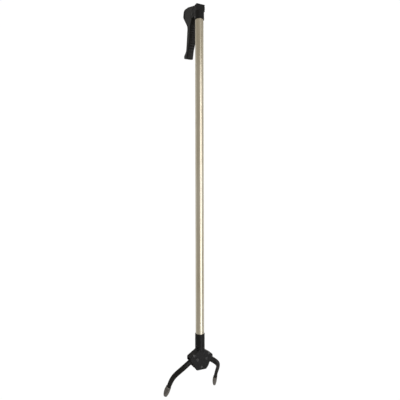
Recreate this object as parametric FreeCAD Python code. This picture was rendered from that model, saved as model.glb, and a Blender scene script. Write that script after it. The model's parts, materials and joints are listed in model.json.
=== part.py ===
import FreeCAD, Part
import math
import os

# Reacher grabber, in millimetres. The tube's axis is Z with the handle at the top.
# The jaw fingers open along X, and the squeeze lever hangs behind the tube, on the +Y side.
# The origin is on the tube's axis, half way along the bare stretch that a wall clip grips.

V = FreeCAD.Vector
X_AXIS = V(1, 0, 0)
Y_AXIS = V(0, 1, 0)
Z_AXIS = V(0, 0, 1)

# Main tube
TUBE_R = 9.525
TUBE_WALL = 1.2
BARE_TOP = 354.0            # where the handle's sleeve starts
BARE_BOTTOM = -357.0        # where the jaw head's neck starts
TUBE_TOP = 366.0
TUBE_BOTTOM = -385.0
SEAT_GAP = 0.05             # between the tube and the mouldings around it
SLEEVE_R = 10.9

# Linkage: the cranks are set evenly about a swing of FINGER_CLOSE degrees, and the rod and
# lever follow from it. The soft tips meet just before the end of that swing.
FINGER_CLOSE = 33.0
CRANK = 11.0                # finger pivot to the pull rod's line
LEVER_CRANK = 19.0          # lever pivot to the pull rod's line
PULL = 2 * CRANK * math.tan(math.radians(FINGER_CLOSE / 2))
PIVOT_Z = -412.0            # height of both finger pivots
LEVER_Z = 375.0             # height of the lever pivot
LOW_PIN_Z = PIVOT_Z - PULL / 2
TOP_PIN_Z = LEVER_Z - PULL / 2
RUN = 0.06                  # radial running clearance on a turning or sliding fit
SLOT_GAP = 0.25             # clearance of a pin in its slot

# Rod and pins
ROD_R = 1.5
PIN_R = 1.5
LEVER_PIN_R = 2.5
FINGER_PIN_R = 2.5

# Handle housing
BLOCK_TOP = 387.5
BLOCK_BOTTOM = 371.5
BLOCK_HALF = 10.5           # half width of the front block
BLOCK_FRONT = -8.0
BLOCK_BACK = 6.0
CHEEK_HALF = 9.0
CHEEK_R = 9.5
SLOT_HALF = 5.6             # half width of the slot between the cheeks
CAVITY_TOP = 384.6

# Lever
BOSS_HALF = 5.3
BOSS_R = 8.8
GRIP_HALF = 8.6
LEVER_FRONT = 8.0           # the lever's head starts this far behind the tube's axis
TONGUE_HALF = 1.5
TONGUE_W = 3.4

# Jaw head
HEAD_HALF = 10.0            # half thickness along Y
HEAD_INNER = 7.6
HEAD_BOTTOM = -436.4
NECK_CAVITY_R = 8.7
LUG = (0.2, 4.2)            # a finger's root plate lies this far to one side of the middle
LUG_R = 6.3

# Finger stations for the +X side: centre, half width, half thickness and twist in degrees.
# The arm runs out of the head, curves down and sweeps back.
FINGER_STATIONS = [
    (18.0, 0.0, -413.5, 6.2, 4.0, 0.0),
    (31.0, 0.0, -422.0, 6.2, 4.2, 4.0),
    (45.3, 3.8, -433.8, 6.0, 4.3, 15.0),
    (54.0, 13.5, -446.5, 5.8, 4.4, 30.0),
    (58.0, 25.5, -461.0, 5.6, 4.4, 42.0),
    (59.8, 36.0, -476.5, 5.3, 4.0, 45.0),
    (61.8, 45.4, -492.5, 4.6, 3.2, 45.0),
]
PAD_STATIONS = [
    (60.6, 39.8, -483.0, 6.1, 4.7, 45.0),
    (61.7, 44.8, -491.5, 6.7, 5.2, 45.0),
    (63.2, 49.4, -501.0, 6.3, 4.8, 45.0),
    (64.6, 52.6, -509.2, 4.0, 3.2, 45.0),
]
CRANK_HALF = 3.9            # half width of a finger's slotted crank
ROOT_HALF = 5.4             # half width of the plate that joins the pivot to the arm
ROOT_REACH = 17.0
ROOT_TURN = 36.0            # degrees below the horizontal
SLOT_EXTRA = 0.15           # the crank's slot runs this far past the pin's travel at each end

# Rod ends, crosshead and return spring
ROD_END_HALF = 4.0
ROD_END_R = 3.4
ROD_END_DEPTH = 10.0        # from the fork's pin down to its foot
ROD_BOTTOM = LOW_PIN_Z + 12.0
ROD_TOP = TOP_PIN_Z - 6.0
CROSSHEAD_TOP = LOW_PIN_Z + 16.0
CROSSHEAD_HALF = 4.5
CROSSHEAD_DEPTH = 6.9       # half size along Y
SPRING_R = 4.8
SPRING_WIRE_R = 0.55
SPRING_TURNS = 4
SPRING_GAP = 0.15           # between the coil's ends and what they push on

# Fasteners
RIVET_HEIGHTS = (BARE_TOP + 5.0, BARE_BOTTOM - 12.0)
RIVET_R = 1.2
RIVET_HEAD_R = 2.4
RIVET_HEAD = 0.6
RIVET_SINK = 0.3            # how deep a rivet's head sits in the sleeve
HANDLE_SCREWS = ((-6.1, 375.5), (-6.1, 383.8))
HANDLE_SCREW_R = 1.1
HANDLE_SCREW_HEAD_R = 2.0
HANDLE_SCREW_HEAD = 1.2
HEAD_SCREWS = ((0.0, -430.0), (18.5, -402.0), (-18.5, -402.0))
HEAD_SCREW_R = 1.3
HEAD_SCREW_HEAD_R = 2.5
HEAD_SCREW_HEAD = 1.6
HEAD_SCREW_SINK = 0.4
SCREW_BOSS_R = 2.9
LEVER_PIN_HEAD_R = 3.8
LEVER_PIN_HEAD = 1.0
FINGER_PIN_HEAD_R = 3.6
FINGER_PIN_HEAD = 0.9
GUIDE_HEIGHTS = (-180.0, 0.0, 180.0)
GUIDE_LENGTH = 8.0
UPPER_GUIDE_DROP = 20.0     # from the tube's top down to the upper guide's foot

THROUGH = 40.0              # length of a tool that cuts right through a moulding


def cylinder(radius, start, axis, length):
    return Part.makeCylinder(radius, length, V(*start), axis)


def box(low, high):
    size = [b - a for a, b in zip(low, high)]
    return Part.makeBox(size[0], size[1], size[2], V(*low))


def rounded_wire(corners):
    """Close a wire through (point, radius) corners, with a tangent arc at each."""
    starts = []
    edges = []
    count = len(corners)
    for i in range(count):
        point, radius = corners[i]
        to_last = (corners[i - 1][0] - point).normalize()
        to_next = (corners[(i + 1) % count][0] - point).normalize()
        half = to_last.getAngle(to_next) / 2
        reach = radius / math.tan(half)
        middle = (to_last + to_next).normalize() * (radius / math.sin(half) - radius)
        starts.append((point + to_last * reach, point + middle, point + to_next * reach))
    for i in range(count):
        begin, middle, end = starts[i]
        following = starts[(i + 1) % count][0]
        if corners[i][1] > 0:
            edges.append(Part.Arc(begin, middle, end).toShape())
        if end.distanceToPoint(following) > 1e-6:
            edges.append(Part.LineSegment(end, following).toShape())
    return Part.Wire(edges)


def side_plate(corners, x_low, x_high):
    """Extrude a (y, z, radius) outline along X."""
    wire = rounded_wire([(V(x_low, y, z), r) for y, z, r in corners])
    return Part.Face(wire).extrude(V(x_high - x_low, 0, 0))


def front_plate(corners, y_low, y_high):
    """Extrude an (x, z, radius) outline along Y."""
    wire = rounded_wire([(V(x, y_low, z), r) for x, z, r in corners])
    return Part.Face(wire).extrude(V(0, y_high - y_low, 0))


def mirrored(half):
    """Complete an (x, z, radius) outline from its +X half, listed from top to bottom."""
    return half + [(-x, z, r) for x, z, r in reversed(half)]


def fused(shapes):
    return shapes[0].multiFuse(shapes[1:]).removeSplitter()


def cut(shape, tools):
    for tool in tools:
        shape = shape.cut(tool)
    return shape


def mirror_x(shape):
    return shape.mirror(V(0, 0, 0), X_AXIS)


def soften(shape, radius, keep):
    """Round the edges that keep(edge) picks, or leave the shape as it is where they can't be rounded."""
    edges = [edge for edge in shape.Edges if keep(edge)]
    try:
        rounded = shape.makeFillet(radius, edges)
        if rounded.isValid() and rounded.Volume > 0:
            return rounded
    except Part.OCCError:
        pass
    return shape


def shaft_tube():
    inner = TUBE_R - TUBE_WALL
    length = TUBE_TOP - TUBE_BOTTOM
    wall = cylinder(TUBE_R, (0, 0, TUBE_BOTTOM), Z_AXIS, length)
    wall = wall.cut(cylinder(inner, (0, 0, TUBE_BOTTOM - 1), Z_AXIS, length + 2))
    return cut(wall, [rivet_hole(z) for z in RIVET_HEIGHTS])


def rivet_hole(z):
    return cylinder(RIVET_R, (-15, 0, z), X_AXIS, 30)


def rivets(z):
    """Two blind rivets through the sleeve and the tube's wall, one on each side."""
    inside = TUBE_R - TUBE_WALL - RIVET_HEAD
    shank = cylinder(RIVET_R, (inside, 0, z), X_AXIS, SLEEVE_R - inside)
    head = cylinder(RIVET_HEAD_R, (SLEEVE_R - RIVET_SINK, 0, z), X_AXIS, RIVET_HEAD)
    one = fused([shank, head])
    return Part.makeCompound([one, mirror_x(one)])


def rivet_recess(z):
    """A tool for one rivet's hole and the seat of its head, on the +X side."""
    seat = cylinder(RIVET_HEAD_R, (SLEEVE_R - RIVET_SINK, 0, z), X_AXIS, 3)
    return fused([seat, cylinder(RIVET_R, (0, 0, z), X_AXIS, 15)])


def handle_housing():
    """The whole moulding around the tube's top: sleeve, block and the two lever cheeks."""
    sleeve = cylinder(SLEEVE_R, (0, 0, BARE_TOP), Z_AXIS, BLOCK_BOTTOM - BARE_TOP + 2)
    block = side_plate([
        (BLOCK_FRONT, BLOCK_BOTTOM, 1.5), (BLOCK_FRONT, BLOCK_TOP, 1.2),
        (BLOCK_BACK, BLOCK_TOP, 0.3), (BLOCK_BACK, BLOCK_BOTTOM, 0.3),
    ], -BLOCK_HALF, BLOCK_HALF)
    block = soften(block, 1.0, lambda e: abs(abs(e.CenterOfMass.x) - BLOCK_HALF) < 0.01)
    cheek_back = LEVER_CRANK + CHEEK_R
    cheeks = side_plate([
        (0.0, LEVER_Z - CHEEK_R, 0), (0.0, LEVER_Z + CHEEK_R, 0),
        (cheek_back, LEVER_Z + CHEEK_R, CHEEK_R - 0.05),
        (cheek_back, LEVER_Z - CHEEK_R, CHEEK_R - 0.05),
    ], -CHEEK_HALF, CHEEK_HALF)
    cheeks = soften(cheeks, 0.8, lambda e: abs(abs(e.CenterOfMass.x) - CHEEK_HALF) < 0.01)
    body = fused([sleeve, block, cheeks])
    hollow = box((-SLOT_HALF, -4.2, TUBE_TOP), (SLOT_HALF, THROUGH, CAVITY_TOP))
    lever_way = box((-SLOT_HALF, 11.6, LEVER_Z - 30), (SLOT_HALF, THROUGH, TUBE_TOP + 1))
    tube_seat = cylinder(TUBE_R + SEAT_GAP, (0, 0, BARE_TOP - 1), Z_AXIS, TUBE_TOP - BARE_TOP + 1)
    pin_hole = cylinder(LEVER_PIN_R, (-THROUGH / 2, LEVER_CRANK, LEVER_Z), X_AXIS, THROUGH)
    rivet_z = RIVET_HEIGHTS[0]
    recesses = [rivet_recess(rivet_z), mirror_x(rivet_recess(rivet_z))]
    screws = [screw_body(y, z) for y, z in HANDLE_SCREWS]
    return cut(body, [hollow, lever_way, tube_seat, pin_hole] + recesses + screws)


def screw_body(y, z):
    """A pan-head screw along X, its head sunk in the +X side."""
    shank = cylinder(HANDLE_SCREW_R, (-BLOCK_HALF + 2, y, z), X_AXIS, 2 * BLOCK_HALF - 3)
    head_start = (BLOCK_HALF - HANDLE_SCREW_HEAD, y, z)
    head = cylinder(HANDLE_SCREW_HEAD_R, head_start, X_AXIS, HANDLE_SCREW_HEAD)
    return fused([shank, head])


def driver_cross(centre, axis, across, size, depth):
    """The cross-shaped recess of a screw head, as a tool to cut with."""
    arms = []
    other = axis.cross(across)
    for along, side in ((across, other), (other, across)):
        reach = along * size + side * (size / 4) + axis * depth
        low = centre - reach
        high = centre + reach
        corner = V(min(low.x, high.x), min(low.y, high.y), min(low.z, high.z))
        span = [abs(2 * value) for value in reach]
        arms.append(Part.makeBox(span[0], span[1], span[2], corner))
    return fused(arms)


def handle_screws():
    screws = []
    for y, z in HANDLE_SCREWS:
        recess = driver_cross(V(BLOCK_HALF, y, z), X_AXIS, Y_AXIS, 1.2, 0.8)
        screws.append(screw_body(y, z).cut(recess))
    return Part.makeCompound(screws)


def half_of(shape, side):
    """The part of a moulding on one side of the X = 0 parting plane."""
    low = (0, -200, -600) if side > 0 else (-200, -200, -600)
    high = (200, 200, 600) if side > 0 else (0, 200, 600)
    return shape.common(box(low, high))


def lever_outline():
    """Side outline of the lever, from the block's back round the knuckle to the flared foot."""
    return [
        (LEVER_FRONT, LEVER_Z + CHEEK_R + 1.2, 0.5), (LEVER_FRONT, 390.0, 1.5), (45.0, 402.4, 22.0),
        (70.5, 407.0, 8.5), (75.5, 389.5, 9.0), (49.0, 356.0, 16.0), (57.0, 302.0, 10.0),
        (69.5, 294.5, 1.4), (70.0, 287.8, 1.8), (53.0, 282.4, 2.2), (47.0, 301.0, 14.0),
        (35.5, 322.0, 30.0), (32.5, 352.0, 12.0), (21.5, LEVER_Z - 8.0, 4.0),
        (LEVER_FRONT + 5.0, LEVER_Z - 4.0, 3.0), (LEVER_FRONT + 5.0, LEVER_Z + CHEEK_R + 1.2, 0),
    ]


def squeeze_lever():
    """One moulding: grip, pivot boss, and a tongue that reaches the pull rod."""
    core = side_plate(lever_outline(), -BOSS_HALF, BOSS_HALF)
    wide = side_plate(lever_outline(), -GRIP_HALF, GRIP_HALF)
    wide = soften(wide, 2.2, lambda e: abs(abs(e.CenterOfMass.x) - GRIP_HALF) < 0.01)
    turning_room = cylinder(CHEEK_R + 0.9, (-30, LEVER_CRANK, LEVER_Z), X_AXIS, 60)
    below_top = box((-30, -20, 280), (30, LEVER_CRANK, LEVER_Z + CHEEK_R + 1.2))
    wide = cut(wide, [turning_room, below_top])
    boss = cylinder(BOSS_R, (-BOSS_HALF, LEVER_CRANK, LEVER_Z), X_AXIS, 2 * BOSS_HALF)
    tilt = -math.degrees(math.atan2(LEVER_Z - TOP_PIN_Z, LEVER_CRANK))
    pin_reach = math.hypot(LEVER_CRANK, PULL / 2)
    tongue = box((-TONGUE_HALF, -pin_reach, -TONGUE_W), (TONGUE_HALF, -4, TONGUE_W))
    tongue = tongue.fuse(cylinder(TONGUE_W, (-TONGUE_HALF, -pin_reach, 0), X_AXIS, 2 * TONGUE_HALF))
    slot_r = PIN_R + SLOT_GAP
    near = LEVER_CRANK - 0.1
    slot = box((-5, -pin_reach - 0.1, -slot_r), (5, -near, slot_r))
    slot = slot.fuse(cylinder(slot_r, (-5, -pin_reach - 0.1, 0), X_AXIS, 10))
    slot = slot.fuse(cylinder(slot_r, (-5, -near, 0), X_AXIS, 10))
    tongue = tongue.cut(slot)
    tongue.rotate(V(0, 0, 0), X_AXIS, -tilt)
    tongue.translate(V(0, LEVER_CRANK, LEVER_Z))
    bore = cylinder(LEVER_PIN_R + RUN, (-THROUGH / 2, LEVER_CRANK, LEVER_Z), X_AXIS, THROUGH)
    return fused([core, wide, boss, tongue]).cut(bore)


def lever_pivot_pin():
    """A headed pin across both cheeks, which the lever's boss turns on."""
    shank = cylinder(LEVER_PIN_R, (-CHEEK_HALF, LEVER_CRANK, LEVER_Z), X_AXIS, 2 * CHEEK_HALF)
    starts = (-CHEEK_HALF - LEVER_PIN_HEAD, CHEEK_HALF)
    heads = [cylinder(LEVER_PIN_HEAD_R, (x, LEVER_CRANK, LEVER_Z), X_AXIS, LEVER_PIN_HEAD) for x in starts]
    rim = CHEEK_HALF + LEVER_PIN_HEAD - 0.1
    return soften(fused([shank] + heads), 0.5, lambda e: abs(e.CenterOfMass.x) > rim)


def pull_rod():
    return cylinder(ROD_R, (0, 0, ROD_BOTTOM), Z_AXIS, ROD_TOP - ROD_BOTTOM)


def rod_end():
    """A fork on the rod's top that takes the lever's tongue."""
    bottom = TOP_PIN_Z - ROD_END_DEPTH
    body = box((-ROD_END_HALF, -ROD_END_R, bottom), (ROD_END_HALF, ROD_END_R, TOP_PIN_Z))
    body = body.fuse(cylinder(ROD_END_R, (-ROD_END_HALF, 0, TOP_PIN_Z), X_AXIS, 2 * ROD_END_HALF))
    gap_half = TONGUE_HALF + 0.3
    gap = box((-gap_half, -10, TOP_PIN_Z - 5.0), (gap_half, 10, TOP_PIN_Z + 10))
    rod_bore = cylinder(ROD_R, (0, 0, bottom - 1), Z_AXIS, 5.0)
    pin_bore = cylinder(PIN_R, (-10, 0, TOP_PIN_Z), X_AXIS, 20)
    return cut(body, [gap, rod_bore, pin_bore])


def rod_end_pin():
    half = ROD_END_HALF + 0.8
    return cylinder(PIN_R, (-half, 0, TOP_PIN_Z), X_AXIS, 2 * half)


def rod_guide(bottom, height):
    radius = TUBE_R - TUBE_WALL - SEAT_GAP
    disc = cylinder(radius, (0, 0, bottom), Z_AXIS, height)
    return disc.cut(cylinder(ROD_R + RUN, (0, 0, bottom - 1), Z_AXIS, height + 2))


def middle_guides():
    return Part.makeCompound([rod_guide(z - GUIDE_LENGTH / 2, GUIDE_LENGTH) for z in GUIDE_HEIGHTS])


def return_spring():
    """An open coil between the tube's lower guide and the crosshead."""
    low = CROSSHEAD_TOP + SPRING_GAP + SPRING_WIRE_R
    height = TUBE_BOTTOM - SPRING_GAP - SPRING_WIRE_R - low
    pitch = height / SPRING_TURNS
    helix = Part.makeHelix(pitch, height, SPRING_R)
    direction = V(0, 1, pitch / (2 * math.pi * SPRING_R))
    ring = Part.makeCircle(SPRING_WIRE_R, V(SPRING_R, 0, 0), direction)
    coil = Part.Wire(helix.Edges).makePipeShell([Part.Wire([ring])], True, True)
    coil.translate(V(0, 0, low))
    return coil


def crosshead():
    """The fork at the rod's lower end, whose pin drives both finger cranks."""
    inner = LUG[1] + 0.4
    outer = CROSSHEAD_DEPTH
    half = CROSSHEAD_HALF
    low = LOW_PIN_Z - 3.6
    bridge_low = LOW_PIN_Z + 10.2
    bridge = box((-half, -outer, bridge_low), (half, outer, CROSSHEAD_TOP))
    plates = [box((-half, y, low), (half, y + outer - inner, bridge_low)) for y in (inner, -outer)]
    body = fused([bridge] + plates)

    def at_foot(edge):
        centre = edge.CenterOfMass
        return abs(centre.z - low) < 0.01 and abs(centre.x) > 4

    body = soften(body, 1.2, at_foot)
    rod_bore = cylinder(ROD_R, (0, 0, ROD_BOTTOM), Z_AXIS, 10)
    pin_bore = cylinder(PIN_R, (0, -10, LOW_PIN_Z), Y_AXIS, 20)
    return cut(body, [rod_bore, pin_bore])


def crosshead_pin():
    return cylinder(PIN_R, (0, -CROSSHEAD_DEPTH, LOW_PIN_Z), Y_AXIS, 2 * CROSSHEAD_DEPTH)


def head_outline():
    """Front outline of the jaw head: sloping shoulders, blunt ears and a narrowing chin."""
    return mirrored([
        (6.0, -391.5, 0), (28.0, -405.5, 3.5), (28.0, -413.5, 3.0),
        (20.5, -421.0, 4.0), (17.2, -429.5, 6.0), (11.6, HEAD_BOTTOM, 5.0),
    ])


def head_half(side):
    """One half of the jaw head: side is -1 for the front shell and 1 for the rear one."""
    low, high = sorted((0.0, side * HEAD_HALF))
    low_in, high_in = sorted((0.0, side * HEAD_INNER))
    rim = side * HEAD_HALF
    solid = front_plate(head_outline(), low, high)

    def on_rim(edge):
        centre = edge.CenterOfMass
        return abs(centre.y - rim) < 0.01 and centre.z < -391.6

    body = soften(solid, 1.6, on_rim)
    neck = cylinder(SLEEVE_R, (0, 0, -396.0), Z_AXIS, BARE_BOTTOM + 396.0)
    far_low, far_high = sorted((0.0, side * 30.0))
    neck = neck.common(box((-20, far_low, -400), (20, far_high, -300)))
    body = fused([body, neck])
    cavity = mirrored([
        (NECK_CAVITY_R, -384.0, 0), (NECK_CAVITY_R, -394.8, 0), (24.0, -407.0, 0),
        (40.0, -407.0, 0), (40.0, -450.0, 0),
    ])
    room = front_plate(cavity, low_in, high_in)
    web = box((-5.5, low_in, HEAD_BOTTOM), (5.5, high_in, -424.5)).common(solid)
    bosses = []
    for x, z in HEAD_SCREWS[1:]:
        boss = cylinder(SCREW_BOSS_R, (x, low_in, z), Y_AXIS, HEAD_INNER)
        bosses.append(boss.common(solid))
    body = fused([body.cut(room), web] + bosses)
    tube_seat = cylinder(TUBE_R + SEAT_GAP, (0, 0, TUBE_BOTTOM), Z_AXIS, THROUGH)
    spring_room = cylinder(NECK_CAVITY_R, (0, 0, -396.5), Z_AXIS, 12)
    pins = [cylinder(FINGER_PIN_R, (x, -THROUGH / 2, PIVOT_Z), Y_AXIS, THROUGH) for x in (-CRANK, CRANK)]
    rivet_z = RIVET_HEIGHTS[1]
    recesses = [rivet_recess(rivet_z), mirror_x(rivet_recess(rivet_z))]
    screw_ways = [head_screw_way(x, z) for x, z in HEAD_SCREWS]
    return cut(body, [tube_seat, spring_room] + pins + recesses + screw_ways)


def head_screw(x, z):
    """A plain screw along Y with its head let into the front shell."""
    face = -HEAD_HALF + HEAD_SCREW_SINK
    head = cylinder(HEAD_SCREW_HEAD_R, (x, face, z), Y_AXIS, HEAD_SCREW_HEAD)
    shank = cylinder(HEAD_SCREW_R, (x, face, z), Y_AXIS, 2 * HEAD_HALF - 3.0)
    return fused([head, shank])


def head_screw_way(x, z):
    """The screw with the open recess in front of its head, as a tool to cut with."""
    opening = cylinder(HEAD_SCREW_HEAD_R, (x, -HEAD_HALF + HEAD_SCREW_SINK - 1.0, z), Y_AXIS, 1.0)
    return fused([head_screw(x, z), opening])


def head_screws():
    face = -HEAD_HALF + HEAD_SCREW_SINK
    screws = []
    for x, z in HEAD_SCREWS:
        recess = driver_cross(V(x, face, z), Y_AXIS, X_AXIS, 1.6, 0.9)
        screws.append(head_screw(x, z).cut(recess))
    return Part.makeCompound(screws)


def finger_pins():
    """The two headed pins that the fingers turn on, held in both shells."""
    rim = HEAD_HALF + FINGER_PIN_HEAD - 0.1
    pins = []
    for x in (-CRANK, CRANK):
        shank = cylinder(FINGER_PIN_R, (x, -HEAD_HALF, PIVOT_Z), Y_AXIS, 2 * HEAD_HALF)
        ends = [cylinder(FINGER_PIN_HEAD_R, (x, y, PIVOT_Z), Y_AXIS, FINGER_PIN_HEAD)
                for y in (-HEAD_HALF - FINGER_PIN_HEAD, HEAD_HALF)]
        pin = fused([shank] + ends)
        pins.append(soften(pin, 0.45, lambda e: abs(e.CenterOfMass.y) > rim))
    return Part.makeCompound(pins)


def arm_section(station, tangent):
    """An oval across the finger, its long axis turned from the jaw's plane by the twist."""
    x, y, z, width, thick, twist = station
    back = (Y_AXIS - tangent * Y_AXIS.dot(tangent)).normalize()
    outward = back.cross(tangent).normalize()
    if outward.x < 0:
        outward = outward * -1
    angle = math.radians(twist)
    long_axis = outward * math.cos(angle) + back * math.sin(angle)
    centre = V(x, y, z)
    ellipse = Part.Ellipse(centre + long_axis * width, centre + long_axis.cross(tangent) * thick, centre)
    return Part.Wire([ellipse.toShape()])


def swept(stations):
    """Loft one smooth solid through the ovals of a list of stations."""
    centres = [V(*station[:3]) for station in stations]
    last = len(centres) - 1
    wires = []
    for i, station in enumerate(stations):
        tangent = (centres[min(i + 1, last)] - centres[max(i - 1, 0)]).normalize()
        wires.append(arm_section(station, tangent))
    return Part.makeLoft(wires, True, False)


def finger_plates():
    """The flat root of the +X finger: pivot hub, slotted crank and the plate under the arm."""
    low, high = -LUG[1], -LUG[0]
    depth = high - low
    rest = math.radians(FINGER_CLOSE / 2)
    reach = CRANK / math.cos(rest)

    def along(distance):
        return V(CRANK - distance * math.cos(rest), 0, PIVOT_Z - distance * math.sin(rest))

    def bar(length, half_width, turn):
        plate = box((0, low, -half_width), (length, high, half_width))
        plate.rotate(V(0, 0, 0), Y_AXIS, turn)
        plate.translate(V(CRANK, 0, PIVOT_Z))
        return plate

    end = along(reach)
    hub = cylinder(LUG_R, (CRANK, low, PIVOT_Z), Y_AXIS, depth)
    crank_end = cylinder(CRANK_HALF, (end.x, low, end.z), Y_AXIS, depth)
    crank = bar(reach, CRANK_HALF, 180.0 - FINGER_CLOSE / 2)
    root = bar(ROOT_REACH, ROOT_HALF, ROOT_TURN)
    slot_ends = [along(CRANK - SLOT_EXTRA), along(reach + SLOT_EXTRA)]
    slots = [cylinder(PIN_R + SLOT_GAP, (p.x, -THROUGH / 2, p.z), Y_AXIS, THROUGH) for p in slot_ends]
    return [hub, crank_end, crank, root], slots


def right_finger():
    """Root plate with its pivot hole and slotted crank, and the curved arm."""
    plates, slots = finger_plates()
    body = fused(plates + [swept(FINGER_STATIONS)])
    bore = cylinder(FINGER_PIN_R + RUN, (CRANK, -THROUGH / 2, PIVOT_Z), Y_AXIS, THROUGH)
    return cut(body, slots + [bore])


def left_finger():
    """The right finger mirrored, its root turned over so that it lies behind the other's root."""
    beyond = box((26.0, -30, -520), (90, 90, -400))
    root = right_finger().cut(beyond)
    turned_over = root.mirror(V(0, 0, 0), Y_AXIS)
    arm = swept(FINGER_STATIONS).common(beyond)
    return mirror_x(fused([turned_over, arm]))


def tip_pad():
    """A soft cap over the right finger's end."""
    return swept(PAD_STATIONS).cut(swept(FINGER_STATIONS))


def main():
    os.makedirs("parts", exist_ok=True)
    housing = handle_housing()
    pad = tip_pad()
    parts = {
        "shaft_tube": shaft_tube(),
        "handle_shell_left": half_of(housing, -1),
        "handle_shell_right": half_of(housing, 1),
        "handle_screws": handle_screws(),
        "upper_rivets": rivets(RIVET_HEIGHTS[0]),
        "squeeze_lever": squeeze_lever(),
        "lever_pivot_pin": lever_pivot_pin(),
        "rod_end": rod_end(),
        "rod_end_pin": rod_end_pin(),
        "pull_rod": pull_rod(),
        "upper_guide": rod_guide(TUBE_TOP - UPPER_GUIDE_DROP, GUIDE_LENGTH),
        "middle_guides": middle_guides(),
        "lower_guide": rod_guide(TUBE_BOTTOM, GUIDE_LENGTH),
        "return_spring": return_spring(),
        "crosshead": crosshead(),
        "crosshead_pin": crosshead_pin(),
        "head_shell_front": head_half(-1),
        "head_shell_rear": head_half(1),
        "head_screws": head_screws(),
        "lower_rivets": rivets(RIVET_HEIGHTS[1]),
        "finger_pins": finger_pins(),
        "finger_right": right_finger(),
        "finger_left": left_finger(),
        "tip_pad_right": pad,
        "tip_pad_left": mirror_x(pad),
    }
    for name, shape in parts.items():
        if not shape.isValid():
            print("not valid:", name)
        print(name, len(shape.Solids), round(shape.Volume, 1))
        shape.exportStep("parts/" + name + ".step")
    print("pull", round(PULL, 4), "top pin", round(TOP_PIN_Z, 3), "low pin", round(LOW_PIN_Z, 3))


main()
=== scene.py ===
import json
import math
import bpy
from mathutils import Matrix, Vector, noise


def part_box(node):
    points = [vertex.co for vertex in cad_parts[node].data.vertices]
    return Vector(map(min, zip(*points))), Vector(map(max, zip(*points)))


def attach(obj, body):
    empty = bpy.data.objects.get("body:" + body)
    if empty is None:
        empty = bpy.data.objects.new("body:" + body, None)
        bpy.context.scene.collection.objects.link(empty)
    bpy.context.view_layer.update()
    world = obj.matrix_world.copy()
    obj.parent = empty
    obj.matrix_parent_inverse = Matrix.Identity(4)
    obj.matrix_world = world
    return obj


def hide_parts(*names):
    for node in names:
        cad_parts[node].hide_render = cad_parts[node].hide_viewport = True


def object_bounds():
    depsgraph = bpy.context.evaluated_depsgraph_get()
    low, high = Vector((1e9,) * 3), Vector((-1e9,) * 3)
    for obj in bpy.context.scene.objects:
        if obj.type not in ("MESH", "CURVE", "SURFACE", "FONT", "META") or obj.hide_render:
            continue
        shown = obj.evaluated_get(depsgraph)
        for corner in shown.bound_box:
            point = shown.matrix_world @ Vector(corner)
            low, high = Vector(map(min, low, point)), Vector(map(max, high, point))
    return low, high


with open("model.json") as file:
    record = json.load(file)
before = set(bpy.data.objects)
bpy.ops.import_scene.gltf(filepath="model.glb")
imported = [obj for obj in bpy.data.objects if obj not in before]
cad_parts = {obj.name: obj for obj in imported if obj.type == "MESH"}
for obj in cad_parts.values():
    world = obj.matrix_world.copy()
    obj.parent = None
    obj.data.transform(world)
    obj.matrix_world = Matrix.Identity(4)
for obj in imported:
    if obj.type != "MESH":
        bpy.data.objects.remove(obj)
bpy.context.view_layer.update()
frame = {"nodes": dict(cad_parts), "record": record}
nodes = frame["nodes"]

# Camera: level, a little to the left of the front, looking at the tube's axis
VIEW_TURN = math.radians(25.5)
VIEW_DISTANCE = 0.863
VIEW_HEIGHT = -0.0545
VIEW_ROLL = 0.0019
VIEW_SHIFT = 0.0009
LENS_MM = 34.2
SENSOR_MM = 36.0

# The closed tips swing this much lower than the open ones, and the floor stays clear of them
FLOOR_GAP = 0.03

# Middle lines of the right finger and its pad, in metres, as in the CAD model
FINGER_LINE = [
    Vector((0.018, 0.0, -0.4135)), Vector((0.031, 0.0, -0.422)), Vector((0.0453, 0.0038, -0.4338)),
    Vector((0.054, 0.0135, -0.4465)), Vector((0.058, 0.0255, -0.461)), Vector((0.0598, 0.036, -0.4765)),
    Vector((0.0618, 0.0454, -0.4925)),
]
PAD_LINE = [
    Vector((0.0606, 0.0398, -0.483)), Vector((0.0617, 0.0448, -0.4915)), Vector((0.0632, 0.0494, -0.501)),
    Vector((0.0646, 0.0526, -0.5092)),
]


def set_inputs(node, values):
    for name, value in values.items():
        node.inputs[name].default_value = value


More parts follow.
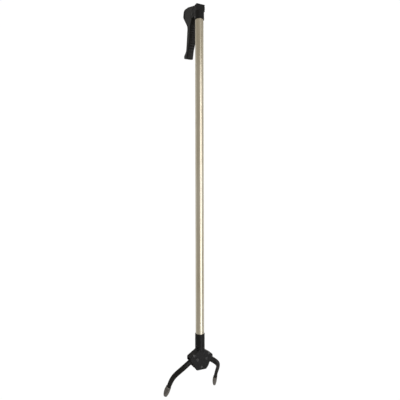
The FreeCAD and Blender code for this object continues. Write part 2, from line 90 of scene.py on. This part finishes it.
class Shader:
    """A small builder for one procedural material."""

    def __init__(self, name, values):
        self.material = bpy.data.materials.new(name)
        self.material.use_nodes = True
        self.tree = self.material.node_tree
        self.surface = self.tree.nodes["Principled BSDF"]
        set_inputs(self.surface, values)
        self.place = self.add("ShaderNodeTexCoord").outputs["Object"]

    def add(self, kind, values=None):
        node = self.tree.nodes.new(kind)
        set_inputs(node, values or {})
        return node

    def join(self, source, target):
        self.tree.links.new(source, target)

    def stretched(self, scale):
        mapping = self.add("ShaderNodeMapping", {"Scale": scale})
        self.join(self.place, mapping.inputs["Vector"])
        return mapping.outputs["Vector"]

    def grain(self, scale, detail=3.0, stretch=None, rough=0.5):
        texture = self.add("ShaderNodeTexNoise", {"Scale": scale, "Detail": detail, "Roughness": rough})
        self.join(self.stretched(stretch) if stretch else self.place, texture.inputs["Vector"])
        return texture.outputs["Fac"]

    def cells(self, scale):
        texture = self.add("ShaderNodeTexVoronoi", {"Scale": scale})
        self.join(self.place, texture.inputs["Vector"])
        return texture.outputs["Distance"]

    def ramp(self, factor, stops):
        """Map a factor to colours through (position, colour) stops."""
        node = self.add("ShaderNodeValToRGB")
        while len(node.color_ramp.elements) < len(stops):
            node.color_ramp.elements.new(0.5)
        for element, (position, colour) in zip(node.color_ramp.elements, stops):
            element.position = position
            element.color = (*colour, 1.0)
        self.join(factor, node.inputs["Fac"])
        return node.outputs["Color"]

    def fit(self, value, low, high, to_low, to_high):
        node = self.add("ShaderNodeMapRange", {
            "From Min": low, "From Max": high, "To Min": to_low, "To Max": to_high})
        self.join(value, node.inputs["Value"])
        return node.outputs["Result"]

    def sum(self, first, second):
        node = self.add("ShaderNodeMath")
        node.operation = "ADD"
        self.join(first, node.inputs[0])
        self.join(second, node.inputs[1])
        return node.outputs[0]

    def blend(self, factor, first, second):
        """Mix two colours, given as sockets or plain colours."""
        node = self.tree.nodes.new("ShaderNodeMix")
        node.data_type = "RGBA"
        self.join(factor, node.inputs[0])
        for socket, value in ((node.inputs[6], first), (node.inputs[7], second)):
            if isinstance(value, tuple):
                socket.default_value = (*value, 1.0)
            else:
                self.join(value, socket)
        return node.outputs[2]

    def edges(self, low, high):
        """1 on convex edges, 0 elsewhere."""
        pointed = self.add("ShaderNodeNewGeometry").outputs["Pointiness"]
        return self.fit(pointed, low, high, 0.0, 1.0)

    def colour(self, source):
        self.join(source, self.surface.inputs["Base Color"])

    def rough(self, source):
        self.join(source, self.surface.inputs["Roughness"])

    def bump(self, height, strength, distance):
        node = self.add("ShaderNodeBump", {"Strength": strength, "Distance": distance})
        self.join(height, node.inputs["Height"])
        self.join(node.outputs["Normal"], self.surface.inputs["Normal"])


def anodised_tube():
    """Champagne anodised aluminium, drawn lengthwise, with cloudy colour and faint scuffs."""
    s = Shader("anodised_tube", {"Metallic": 1.0, "Anisotropic": 0.35})
    drawn = s.grain(900.0, 4.0, (1.0, 1.0, 0.012))
    clouds = s.grain(14.0, 4.0, (1.0, 1.0, 0.35))
    tint = s.ramp(clouds, [(0.3, (0.72, 0.64, 0.47)), (0.5, (0.78, 0.71, 0.55)), (0.72, (0.83, 0.78, 0.64))])
    lines = s.fit(drawn, 0.35, 0.65, 0.0, 0.28)
    tint = s.blend(lines, tint, (0.90, 0.87, 0.78))
    scuffs = s.grain(120.0, 6.0, (1.0, 1.0, 0.25), 0.7)
    marks = s.fit(scuffs, 0.66, 0.74, 0.0, 0.35)
    s.colour(s.blend(marks, tint, (0.60, 0.56, 0.49)))
    base = s.fit(drawn, 0.3, 0.7, 0.24, 0.36)
    s.rough(s.sum(base, s.fit(clouds, 0.3, 0.7, -0.03, 0.06)))
    s.bump(drawn, 0.12, 0.0002)
    return s.material


def moulded_black(name, dark, light, rough_low, rough_high, grain_scale, dust):
    """Moulded plastic: fine grain, soft colour drift, a little dust, and convex edges blended lighter:
    partly real rubbing, partly a painted sheen.
    """
    s = Shader(name, {"Specular IOR Level": 0.28})
    drift = s.grain(28.0, 4.0)
    tint = s.ramp(drift, [(0.32, dark), (0.68, light)])
    # Painted sheen on the convex edges, together with real rubbed wear: the edges are blended towards a
    # paler grey.
    lightened_edges = s.edges(0.515, 0.60)
    tint = s.blend(s.fit(lightened_edges, 0.0, 1.0, 0.0, 0.45), tint, (0.050, 0.049, 0.048))
    specks = s.fit(s.grain(650.0, 2.0), 0.69, 0.76, 0.0, dust)
    s.colour(s.blend(specks, tint, (0.11, 0.105, 0.095)))
    fine = s.grain(grain_scale, 3.0)
    s.rough(s.sum(s.fit(fine, 0.3, 0.7, rough_low, rough_high), s.fit(drift, 0.3, 0.7, -0.04, 0.05)))
    s.bump(s.sum(fine, s.cells(grain_scale * 0.7)), 0.22, 0.00012)
    return s.material


def tip_rubber():
    """Warm grey soft rubber, blotchy, and paler where it has rubbed."""
    s = Shader("tip_rubber", {"Specular IOR Level": 0.35, "Sheen Weight": 0.25, "Sheen Roughness": 0.5})
    blotch = s.grain(160.0, 5.0)
    tint = s.ramp(blotch, [(0.3, (0.095, 0.086, 0.077)), (0.52, (0.180, 0.166, 0.150)),
                           (0.72, (0.310, 0.292, 0.268))])
    worn = s.edges(0.51, 0.58)
    s.colour(s.blend(s.fit(worn, 0.0, 1.0, 0.0, 0.55), tint, (0.36, 0.34, 0.31)))
    fine = s.grain(2200.0, 3.0)
    s.rough(s.fit(fine, 0.3, 0.7, 0.55, 0.78))
    s.bump(fine, 0.3, 0.00015)
    return s.material


def steel(name, dark, light, rough_low, rough_high, stretch, metallic=1.0):
    """Plated or drawn metal with fine lines and a mottled coat."""
    s = Shader(name, {"Metallic": metallic})
    mottle = s.grain(420.0, 4.0)
    tint = s.ramp(mottle, [(0.35, dark), (0.65, light)])
    lightened_edges = s.fit(s.edges(0.52, 0.62), 0.0, 1.0, 0.0, 0.5)
    s.colour(s.blend(lightened_edges, tint, tuple(min(1.0, value * 1.6 + 0.08) for value in light)))
    lines = s.grain(3000.0, 3.0, stretch)
    s.rough(s.fit(lines, 0.3, 0.7, rough_low, rough_high))
    s.bump(lines, 0.15, 0.0001)
    return s.material


def nylon():
    """Natural nylon, slightly waxy and uneven."""
    s = Shader("nylon_natural", {"Subsurface Weight": 0.15, "Subsurface Radius": (0.002, 0.002, 0.0015)})
    cloud = s.grain(180.0, 4.0)
    s.colour(s.ramp(cloud, [(0.3, (0.60, 0.57, 0.49)), (0.7, (0.74, 0.71, 0.63))]))
    fine = s.grain(1800.0, 2.0)
    s.rough(s.fit(fine, 0.3, 0.7, 0.38, 0.55))
    s.bump(fine, 0.15, 0.0001)
    return s.material


def make_materials():
    return {
        "anodised_tube": anodised_tube(),
        "housing_black": moulded_black("housing_black", (0.0052, 0.0051, 0.0055), (0.0105, 0.0103, 0.0108),
                                       0.40, 0.56, 1900.0, 0.22),
        "lever_black": moulded_black("lever_black", (0.0050, 0.0049, 0.0052), (0.0098, 0.0096, 0.0100),
                                     0.34, 0.50, 2300.0, 0.16),
        "finger_black": moulded_black("finger_black", (0.0055, 0.0050, 0.0045), (0.0105, 0.0096, 0.0084),
                                      0.36, 0.52, 2100.0, 0.20),
        "tip_rubber": tip_rubber(),
        "zinc_steel": steel("zinc_steel", (0.50, 0.50, 0.51), (0.68, 0.68, 0.69), 0.25, 0.42, (1, 1, 0.05)),
        "blackened_steel": steel("blackened_steel", (0.030, 0.030, 0.032), (0.075, 0.074, 0.074),
                                 0.32, 0.48, (1, 1, 1), 0.85),
        "spring_steel": steel("spring_steel", (0.36, 0.36, 0.37), (0.50, 0.50, 0.51),
                              0.22, 0.36, (1, 1, 0.3)),
        "nylon_natural": nylon(),
    }


materials = make_materials()
slot_of = {part["node"]: part["material_slot"] for part in frame["record"]["subparts"]}


def dress(obj, slot):
    obj.data.materials.clear()
    obj.data.materials.append(materials[slot])


def applied(obj):
    """Replace an object's mesh by what its modifiers make of it."""
    graph = bpy.context.evaluated_depsgraph_get()
    mesh = bpy.data.meshes.new_from_object(obj.evaluated_get(graph))
    obj.modifiers.clear()
    obj.data = mesh
    return obj


def moulded(name, node, voxel, passes):
    """Copy a CAD piece into a new one with the soft corners of a real moulding."""
    piece = bpy.data.objects.new(name, nodes[node].data.copy())
    bpy.context.scene.collection.objects.link(piece)
    weld = piece.modifiers.new("weld", "WELD")
    weld.merge_threshold = 0.00001
    remesh = piece.modifiers.new("remesh", "REMESH")
    remesh.mode = "VOXEL"
    remesh.voxel_size = voxel
    soften = piece.modifiers.new("soften", "SMOOTH")
    soften.factor = 0.5
    soften.iterations = passes
    return applied(piece)


def keep_inside(piece, node):
    """Hold a piece within its CAD node's own box."""
    low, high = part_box(node)
    for vertex in piece.data.vertices:
        for axis in range(3):
            vertex.co[axis] = min(max(vertex.co[axis], low[axis]), high[axis])


def finish_piece(piece, node, body):
    keep_inside(piece, node)
    dress(piece, slot_of[node])
    for face in piece.data.polygons:
        face.use_smooth = True
    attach(piece, body)
    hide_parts(node)


def soft_step(value, low, high):
    """0 below low, 1 above high, and a smooth rise between."""
    t = min(max((value - low) / (high - low), 0.0), 1.0)
    return t * t * (3.0 - 2.0 * t)


def nearest_on_line(point, line):
    """Distance from a line of points, and how far along it the nearest place lies."""
    best = (math.inf, 0.0)
    travelled = 0.0
    for start, end in zip(line, line[1:]):
        span = end - start
        t = min(max((point - start).dot(span) / span.length_squared, 0.0), 1.0)
        spot = start + span * t
        away = (point - spot).length
        if away < best[0]:
            best = (away, travelled + span.length * t)
        travelled += span.length
    return best


# The lever's sunk panel follows this line, from the knuckle to the foot, and gets narrower
LEVER_SPINE = [Vector((0, 0.060, 0.392)), Vector((0, 0.046, 0.350)), Vector((0, 0.050, 0.302))]
PANEL_DEPTH = 0.0009
PANEL_HALF = 0.0072
PANEL_START = 1.25          # the panel's half width at the knuckle, in PANEL_HALFs
PANEL_TAPER = 0.16          # it loses one PANEL_HALF over this length
PANEL_RIM = 0.0012
PANEL_FROM_X = 0.0072       # the panel is sunk only where the lever's side is further out than this
GRIP_FADE = 0.004
GRIP_FULL_X = 0.0050        # the ribs are whole within this half width, and gone past the next
GRIP_NONE_X = 0.0068
GRIP_TOP = 0.352
GRIP_BOTTOM = 0.296
GRIP_PITCH = 0.0052
GRIP_RISE = 0.0006


def lever_detail(piece):
    """A sunk panel on both sides of the lever, and finger ribs down the side that the hand pulls."""
    mesh = piece.data
    normals = [vertex.normal.copy() for vertex in mesh.vertices]
    for vertex, normal in zip(mesh.vertices, normals):
        co = vertex.co
        flat = Vector((0, co.y, co.z))
        away, along = nearest_on_line(flat, LEVER_SPINE)
        if abs(normal.x) > 0.8 and abs(co.x) > PANEL_FROM_X:
            width = PANEL_HALF * (PANEL_START - along / PANEL_TAPER)
            depth = 1.0 - soft_step(away, width - PANEL_RIM, width)
            co.x -= math.copysign(PANEL_DEPTH * depth, co.x)
        if normal.y < -0.5 and GRIP_BOTTOM < co.z < GRIP_TOP:
            rise = soft_step(co.z, GRIP_BOTTOM, GRIP_BOTTOM + GRIP_FADE)
            fade = rise * (1.0 - soft_step(co.z, GRIP_TOP - GRIP_FADE, GRIP_TOP))
            across = 1.0 - soft_step(abs(co.x), GRIP_FULL_X, GRIP_NONE_X)
            wave = math.cos((co.z - GRIP_BOTTOM) / GRIP_PITCH * 2 * math.pi)
            vertex.co = co - normal * (GRIP_RISE * fade * across * (0.5 - 0.5 * wave))


# The way that the right finger's and pad's gripping faces look
GRIPPING_WAY = Vector((-0.75, 0.66, 0.0))
ARM_START_X = 0.030         # nearer the middle than this is the root inside the head
FINGER_RIB_START = 0.062
FINGER_RIB_PITCH = 0.0036
FINGER_RIB_DEPTH = 0.00045
CHANNEL_DEPTH = 0.0006
CHANNEL_STARTS = (0.020, 0.028)     # how far along the finger the channel fades in, and out
CHANNEL_ENDS = (0.085, 0.092)


def finger_detail(piece, side):
    """A shallow channel along the outer face and a few cross ribs on the inner face near the tip."""
    mesh = piece.data
    normals = [vertex.normal.copy() for vertex in mesh.vertices]
    for vertex, normal in zip(mesh.vertices, normals):
        co = Vector((vertex.co.x * side, vertex.co.y, vertex.co.z))
        outward = Vector((normal.x * side, normal.y, normal.z))
        if co.x < ARM_START_X:
            continue
        _, along = nearest_on_line(co, FINGER_LINE)
        inner = GRIPPING_WAY.dot(outward)
        outer = -inner
        if inner > 0.35 and along > FINGER_RIB_START:
            wave = 0.5 - 0.5 * math.cos((along - FINGER_RIB_START) / FINGER_RIB_PITCH * 2 * math.pi)
            vertex.co -= normal * (FINGER_RIB_DEPTH * wave * soft_step(inner, 0.35, 0.7))
        if outer > 0.75:
            fade = soft_step(along, *CHANNEL_STARTS) * (1.0 - soft_step(along, *CHANNEL_ENDS))
            vertex.co -= normal * (CHANNEL_DEPTH * fade * soft_step(outer, 0.80, 0.95))


PAD_RIB_PITCH = 0.0031
PAD_RIB_DEPTH = 0.00055
PAD_RIB_FROM = 0.004
PAD_RIB_TO = 0.026
DENTS_PER_METRE = 180.0
DENT_DEPTH = 0.00012


def pad_detail(piece, side):
    """Cross grooves on the gripping face, and the slight unevenness of soft rubber."""
    mesh = piece.data
    normals = [vertex.normal.copy() for vertex in mesh.vertices]
    for vertex, normal in zip(mesh.vertices, normals):
        co = Vector((vertex.co.x * side, vertex.co.y, vertex.co.z))
        outward = Vector((normal.x * side, normal.y, normal.z))
        _, along = nearest_on_line(co, PAD_LINE)
        inner = GRIPPING_WAY.dot(outward)
        if inner > 0.2 and PAD_RIB_FROM < along < PAD_RIB_TO:
            wave = 0.5 - 0.5 * math.cos(along / PAD_RIB_PITCH * 2 * math.pi)
            vertex.co -= normal * (PAD_RIB_DEPTH * wave * soft_step(inner, 0.2, 0.6))
        dent = noise.noise(vertex.co * DENTS_PER_METRE) * DENT_DEPTH
        vertex.co -= normal * abs(dent)


# Voxel size in metres and smoothing passes of each kind of moulding
SHELL_MESH = (0.00032, 3)
LEVER_MESH = (0.00045, 5)
FINGER_MESH = (0.00034, 4)
PAD_MESH = (0.00028, 5)


def make_mouldings():
    shells = (("handle_cover_left", "handle_shell_left"), ("handle_cover_right", "handle_shell_right"),
              ("head_cover_front", "head_shell_front"), ("head_cover_rear", "head_shell_rear"))
    for name, node in shells:
        piece = moulded(name, node, *SHELL_MESH)
        finish_piece(piece, node, "frame")
    lever = moulded("lever_grip", "squeeze_lever", *LEVER_MESH)
    lever_detail(lever)
    finish_piece(lever, "squeeze_lever", "lever")
    for word, side in (("right", 1), ("left", -1)):
        finger = moulded("jaw_finger_" + word, "finger_" + word, *FINGER_MESH)
        finger_detail(finger, side)
        finish_piece(finger, "finger_" + word, word + "_jaw")
        pad = moulded("jaw_pad_" + word, "tip_pad_" + word, *PAD_MESH)
        pad_detail(pad, side)
        finish_piece(pad, "tip_pad_" + word, word + "_jaw")


REPLACED = {
    "handle_shell_left", "handle_shell_right", "head_shell_front", "head_shell_rear", "squeeze_lever",
    "finger_right", "finger_left", "tip_pad_right", "tip_pad_left",
}


def dress_cad_nodes():
    for node, obj in nodes.items():
        if node not in REPLACED:
            dress(obj, slot_of[node])


def studio_white():
    """An even white that the lights hardly change."""
    material = bpy.data.materials.new("studio_white")
    material.use_nodes = True
    surface = material.node_tree.nodes["Principled BSDF"]
    set_inputs(surface, {"Base Color": (0.04, 0.04, 0.04, 1.0), "Roughness": 1.0, "Specular IOR Level": 0.0,
                         "Emission Color": (1.0, 1.0, 1.0, 1.0), "Emission Strength": 1.0})
    return material


SWEEP_NEAR = -2.6           # along the camera's own line of sight, from the tube
SWEEP_FAR = 0.9
SWEEP_BEND = 0.5
SWEEP_RISE = 3.0
SWEEP_HALF_WIDTH = 3.0
SWEEP_STEPS = 12


def backdrop():
    """A pale studio sweep: flat floor under the object that curves up behind it."""
    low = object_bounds()[0][2] - FLOOR_GAP
    profile = [(SWEEP_NEAR, low), (SWEEP_FAR, low)]
    for step in range(1, SWEEP_STEPS + 1):
        turn = step / SWEEP_STEPS * math.pi / 2
        profile.append((SWEEP_FAR + SWEEP_BEND * math.sin(turn), low + SWEEP_BEND * (1 - math.cos(turn))))
    profile.append((SWEEP_FAR + SWEEP_BEND, low + SWEEP_RISE))
    points = [(side, y, z) for side in (-SWEEP_HALF_WIDTH, SWEEP_HALF_WIDTH) for y, z in profile]
    count = len(profile)
    faces = [(i, i + 1, count + i + 1, count + i) for i in range(count - 1)]
    mesh = bpy.data.meshes.new("studio_sweep")
    mesh.from_pydata(points, [], faces)
    for face in mesh.polygons:
        face.use_smooth = True
    mesh.materials.append(studio_white())
    sweep = bpy.data.objects.new("studio_sweep", mesh)
    bpy.context.scene.collection.objects.link(sweep)
    sweep.rotation_euler = (0, 0, -VIEW_TURN)
    sweep.visible_glossy = False
    sweep.visible_diffuse = False
    sweep.visible_shadow = False


def area_light(name, turn_deg, height, distance, size, power, colour=(1, 1, 1)):
    """A soft box that many degrees to the right of the camera, aimed at the tube at the camera's height."""
    data = bpy.data.lights.new(name, "AREA")
    data.shape = "RECTANGLE"
    data.size, data.size_y = size
    data.energy = power
    data.color = colour
    light = bpy.data.objects.new(name, data)
    bpy.context.scene.collection.objects.link(light)
    turn = math.radians(turn_deg) - VIEW_TURN
    light.location = (distance * math.sin(turn), -distance * math.cos(turn), height)
    aim = Vector((0, 0, VIEW_HEIGHT)) - light.location
    light.rotation_euler = aim.to_track_quat("-Z", "Y").to_euler()
    light.visible_camera = False


def lights():
    """A tall soft box to the right gives the tube its bright band; the rest is dim and even."""
    area_light("bright_box", 39.0, -0.12, 1.4, (0.72, 1.75), 9.0, (0.97, 0.97, 1.0))
    area_light("right_wash", 118.0, 0.0, 1.6, (0.7, 2.0), 3.0, (0.86, 0.92, 1.0))
    area_light("left_wash", -112.0, 0.0, 1.6, (0.7, 2.0), 2.4, (0.86, 0.92, 1.0))
    area_light("top_wash", 15.0, 1.7, 0.8, (1.0, 1.0), 2.0)
    area_light("rear_wash", 175.0, 0.3, 1.4, (1.0, 1.6), 5.0)
    world = bpy.data.worlds.new("studio_air")
    world.use_nodes = True
    set_inputs(world.node_tree.nodes["Background"], {"Color": (0.95, 0.91, 0.84, 1.0), "Strength": 0.37})
    bpy.context.scene.world = world


def camera():
    data = bpy.data.cameras.new("camera")
    data.lens = LENS_MM
    data.sensor_width = SENSOR_MM
    data.clip_start = 0.01
    data.clip_end = 20.0
    data.shift_x = VIEW_SHIFT
    view = bpy.data.objects.new("camera", data)
    bpy.context.scene.collection.objects.link(view)
    view.location = (-VIEW_DISTANCE * math.sin(VIEW_TURN), -VIEW_DISTANCE * math.cos(VIEW_TURN), VIEW_HEIGHT)
    level = Vector((math.sin(VIEW_TURN), math.cos(VIEW_TURN), 0.0)).to_track_quat("-Z", "Y").to_euler()
    level.y += VIEW_ROLL
    view.rotation_euler = level
    bpy.context.scene.camera = view
    bpy.context.scene.view_settings.view_transform = "Standard"


camera()
make_mouldings()
dress_cad_nodes()
backdrop()
lights()
